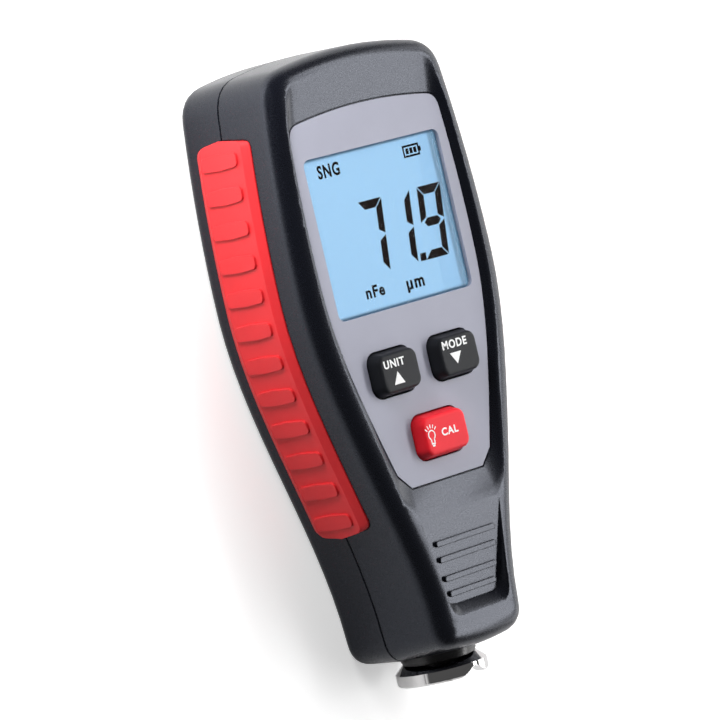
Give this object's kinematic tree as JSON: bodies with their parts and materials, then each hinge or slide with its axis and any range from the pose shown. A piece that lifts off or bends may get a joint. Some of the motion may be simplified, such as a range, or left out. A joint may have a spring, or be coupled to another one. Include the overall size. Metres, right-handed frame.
{
  "type": "coating thickness gauge",
  "caption": "Hand-held coating thickness gauge with a backlit display, press keys, ribbed side grips, a thumb rest and a sprung probe at its lower end.",
  "frame": {"origin": "middle of the gauge's outline, on the plane its back lies on", "axes": "+X to the gauge's right, +Y to its top end away from the probe, +Z out of the display"},
  "size_m": [0.0602, 0.1296, 0.0288],
  "materials": {
    "housing": "satin charcoal, fine grain",
    "grip": "soft satin red",
    "panel": "satin grey",
    "window": "clear polished",
    "display": "backlit pale blue",
    "diffuser": "milky white",
    "rubber": "matt dark grey",
    "board": "satin green",
    "chip": "matt black",
    "dark_key": "satin dark grey",
    "red_key": "satin red",
    "contact_metal": "bright plated",
    "probe_plastic": "satin black",
    "chrome": "polished",
    "copper": "enamelled wire",
    "steel": "bright",
    "cell": "plain blue sleeve"
  },
  "bodies": {
    "gauge": {"front_housing": "housing", "rear_housing": "housing", "left_grip": "grip", "right_grip": "grip", "front_panel": "panel", "display_window": "window", "lcd_glass": "display", "backlight_diffuser": "diffuser", "contact_strip": "rubber", "main_board": "board", "controller_chip": "chip", "keypad_mat": "rubber", "dome_unit": "contact_metal", "dome_mode": "contact_metal", "dome_cal": "contact_metal", "probe_guide": "probe_plastic", "probe_spring": "steel", "cell_left": "cell", "cell_right": "cell", "battery_bridge": "contact_metal", "battery_contact_plus": "contact_metal", "battery_contact_minus": "contact_metal", "housing_screw_top_left": "steel", "housing_screw_top_right": "steel", "housing_screw_low_left": "steel", "housing_screw_low_right": "steel", "board_screw_top_left": "steel", "board_screw_top_right": "steel", "board_screw_low_left": "steel", "board_screw_low_right": "steel"},
    "key_unit": {"key_unit": "dark_key"},
    "key_mode": {"key_mode": "dark_key"},
    "key_cal": {"key_cal": "red_key"},
    "battery_door": {"battery_door": "housing"},
    "probe": {"probe_barrel": "probe_plastic", "probe_ring": "chrome", "probe_coil": "copper", "probe_tip": "steel"}
  },
  "joints": [
    {"name": "key_unit_press", "type": "slide", "parent": "gauge", "child": "key_unit", "axis": [0, 0, -1], "range_m": [0, 0.0008], "stiffness_N_per_m": 800},
    {"name": "key_mode_press", "type": "slide", "parent": "gauge", "child": "key_mode", "axis": [0, 0, -1], "range_m": [0, 0.0008], "stiffness_N_per_m": 800},
    {"name": "key_cal_press", "type": "slide", "parent": "gauge", "child": "key_cal", "axis": [0, 0, -1], "range_m": [0, 0.0008], "stiffness_N_per_m": 800},
    {"name": "probe_press", "type": "slide", "parent": "gauge", "child": "probe", "axis": [0, 1, 0], "range_m": [0, 0.0018], "stiffness_N_per_m": 1500, "deforming": ["probe_spring"]},
    {"name": "battery_door_slide", "type": "slide", "parent": "gauge", "child": "battery_door", "axis": [0, -1, 0], "range_m": [0, 0.004]}
  ]
}
